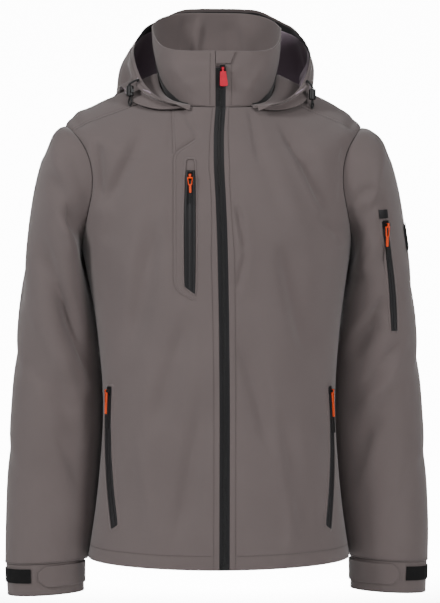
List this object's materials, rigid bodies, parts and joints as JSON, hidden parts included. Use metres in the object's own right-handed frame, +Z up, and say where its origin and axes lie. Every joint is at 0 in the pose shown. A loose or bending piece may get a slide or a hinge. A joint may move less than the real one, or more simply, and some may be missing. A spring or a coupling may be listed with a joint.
{
  "type": "softshell jacket",
  "caption": "Worn-shape hooded softshell jacket: hollow body and sleeves, stand collar, full front zip, zipped chest, hand and sleeve pockets, strapped cuffs.",
  "frame": {"origin": "on the neck's axis, level with the middle of the shoulder slopes, where the garment rests on the wearer's shoulders", "axes": "+Z up, the front faces -Y, the wearer's left is +X"},
  "size_m": [0.6153, 0.3434, 0.8612],
  "materials": {
    "shell": "matte bonded softshell weave",
    "lining": "soft woven lining with a slight sheen",
    "zip_tape": "black woven tape, coated",
    "pull_orange": "smooth moulded",
    "pull_red": "soft moulded, left bare",
    "slider_metal": "black coated die casting",
    "black_plastic": "moulded",
    "cord": "braided elastic cord"
  },
  "bodies": {
    "garment": {"front_right": "shell", "front_left": "shell", "back": "shell", "sleeve_right": "shell", "sleeve_left": "shell", "cuff_right": "shell", "cuff_left": "shell", "cuff_strap_right": "shell", "cuff_strap_left": "shell", "collar": "shell", "chin_guard": "shell", "hood": "shell", "hood_lining_outer": "lining", "hood_lining_inner": "lining", "hood_zip": "zip_tape", "front_zip": "zip_tape", "chest_zip": "zip_tape", "hand_right_zip": "zip_tape", "hand_left_zip": "zip_tape", "sleeve_zip": "zip_tape", "sleeve_patch": "zip_tape", "sleeve_badge": "zip_tape", "hook_patch_right": "zip_tape", "hook_patch_left": "zip_tape", "chest_slider": "slider_metal", "hand_right_slider": "slider_metal", "hand_left_slider": "slider_metal", "sleeve_slider": "slider_metal", "front_slider": "slider_metal", "hood_cord_right": "cord", "cord_lock_right": "black_plastic", "hood_cord_left": "cord", "cord_lock_left": "black_plastic"},
    "chest_tab": {"chest_pull": "pull_orange", "chest_pull_tip": "black_plastic"},
    "hand_right_tab": {"hand_right_pull": "pull_orange", "hand_right_pull_tip": "black_plastic"},
    "hand_left_tab": {"hand_left_pull": "pull_orange", "hand_left_pull_tip": "black_plastic"},
    "sleeve_tab": {"sleeve_pull": "pull_orange", "sleeve_pull_tip": "black_plastic"},
    "front_tab": {"front_pull": "pull_red"}
  },
  "joints": [
    {"name": "chest_pull_swing", "type": "hinge", "parent": "garment", "child": "chest_tab", "pos_m": [-0.04598, -0.14962, -0.11833], "axis": [-0.9971, 0.073, -0.0205], "range_deg": [0, 150]},
    {"name": "hand_right_pull_swing", "type": "hinge", "parent": "garment", "child": "hand_right_tab", "pos_m": [-0.16082, -0.07175, -0.41801], "axis": [-0.4155, 0.9082, 0.0498], "range_deg": [0, 150]},
    {"name": "hand_left_pull_swing", "type": "hinge", "parent": "garment", "child": "hand_left_tab", "pos_m": [0.15908, -0.08243, -0.41797], "axis": [-0.4866, -0.8666, -0.1106], "range_deg": [0, 150]},
    {"name": "sleeve_pull_swing", "type": "hinge", "parent": "garment", "child": "sleeve_tab", "pos_m": [0.23719, -0.08596, -0.18325], "axis": [-0.8593, -0.5034, -0.0908], "range_deg": [0, 150]},
    {"name": "front_pull_swing", "type": "hinge", "parent": "garment", "child": "front_tab", "pos_m": [0.00165, -0.11215, 0.03338], "axis": [-0.998, -0.0262, -0.0584], "range_deg": [0, 150]}
  ]
}
